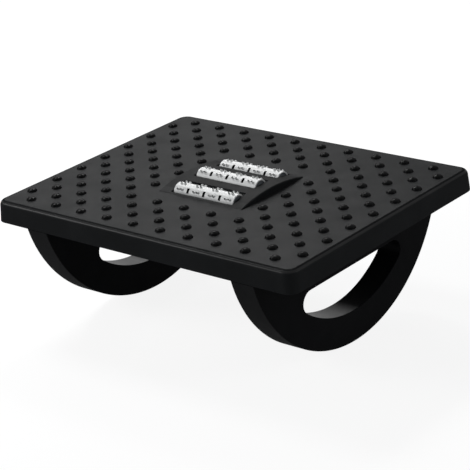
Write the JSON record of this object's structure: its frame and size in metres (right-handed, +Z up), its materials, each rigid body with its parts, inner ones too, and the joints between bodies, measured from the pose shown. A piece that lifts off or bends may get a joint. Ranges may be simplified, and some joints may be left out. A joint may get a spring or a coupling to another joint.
{
  "type": "rocking footrest",
  "caption": "Rocking under-desk foot rest: rectangular plate with massage domes on D-shaped rockers, and pinned rollers that spin in an arched bump.",
  "frame": {"origin": "on the floor, below the middle of the foot plate, midway between the two lowest lines of the rockers", "axes": "+X along the rollers and the rocking axis, to the right for the person whose feet rest on it; +Y away from that person; +Z up"},
  "size_m": [0.45, 0.345, 0.1765],
  "materials": {
    "plate": "moulded, fine satin grain",
    "rocker": "moulded, smooth satin",
    "cradle": "moulded, matt",
    "roller": "moulded, semi-gloss white",
    "hub": "moulded, matt grey",
    "axle": "drawn steel rod",
    "screw": "zinc-plated steel"
  },
  "bodies": {
    "footrest": {"top_plate": "plate", "rocker_left": "rocker", "rocker_right": "rocker", "roller_cradle": "cradle", "rocker_screw_left_1": "screw", "rocker_screw_left_2": "screw", "rocker_screw_left_3": "screw", "rocker_screw_left_4": "screw", "rocker_screw_right_1": "screw", "rocker_screw_right_2": "screw", "rocker_screw_right_3": "screw", "rocker_screw_right_4": "screw", "cradle_screw_1": "screw", "cradle_screw_2": "screw", "cradle_screw_3": "screw", "cradle_screw_4": "screw", "roller_axle_front": "axle", "roller_axle_middle": "axle", "roller_axle_back": "axle"},
    "roller_front": {"roller_sleeve_front": "roller", "roller_hub_front_left": "hub", "roller_hub_front_right": "hub"},
    "roller_middle": {"roller_sleeve_middle": "roller", "roller_hub_middle_left": "hub", "roller_hub_middle_right": "hub"},
    "roller_back": {"roller_sleeve_back": "roller", "roller_hub_back_left": "hub", "roller_hub_back_right": "hub"}
  },
  "joints": [
    {"name": "roller_front_spin", "type": "hinge", "parent": "footrest", "child": "roller_front", "pos_m": [0, -0.0407, 0.1593], "axis": [1, 0, 0], "continuous": true},
    {"name": "roller_middle_spin", "type": "hinge", "parent": "footrest", "child": "roller_middle", "pos_m": [0, 0, 0.1636], "axis": [1, 0, 0], "continuous": true},
    {"name": "roller_back_spin", "type": "hinge", "parent": "footrest", "child": "roller_back", "pos_m": [0, 0.0407, 0.1593], "axis": [1, 0, 0], "continuous": true}
  ]
}
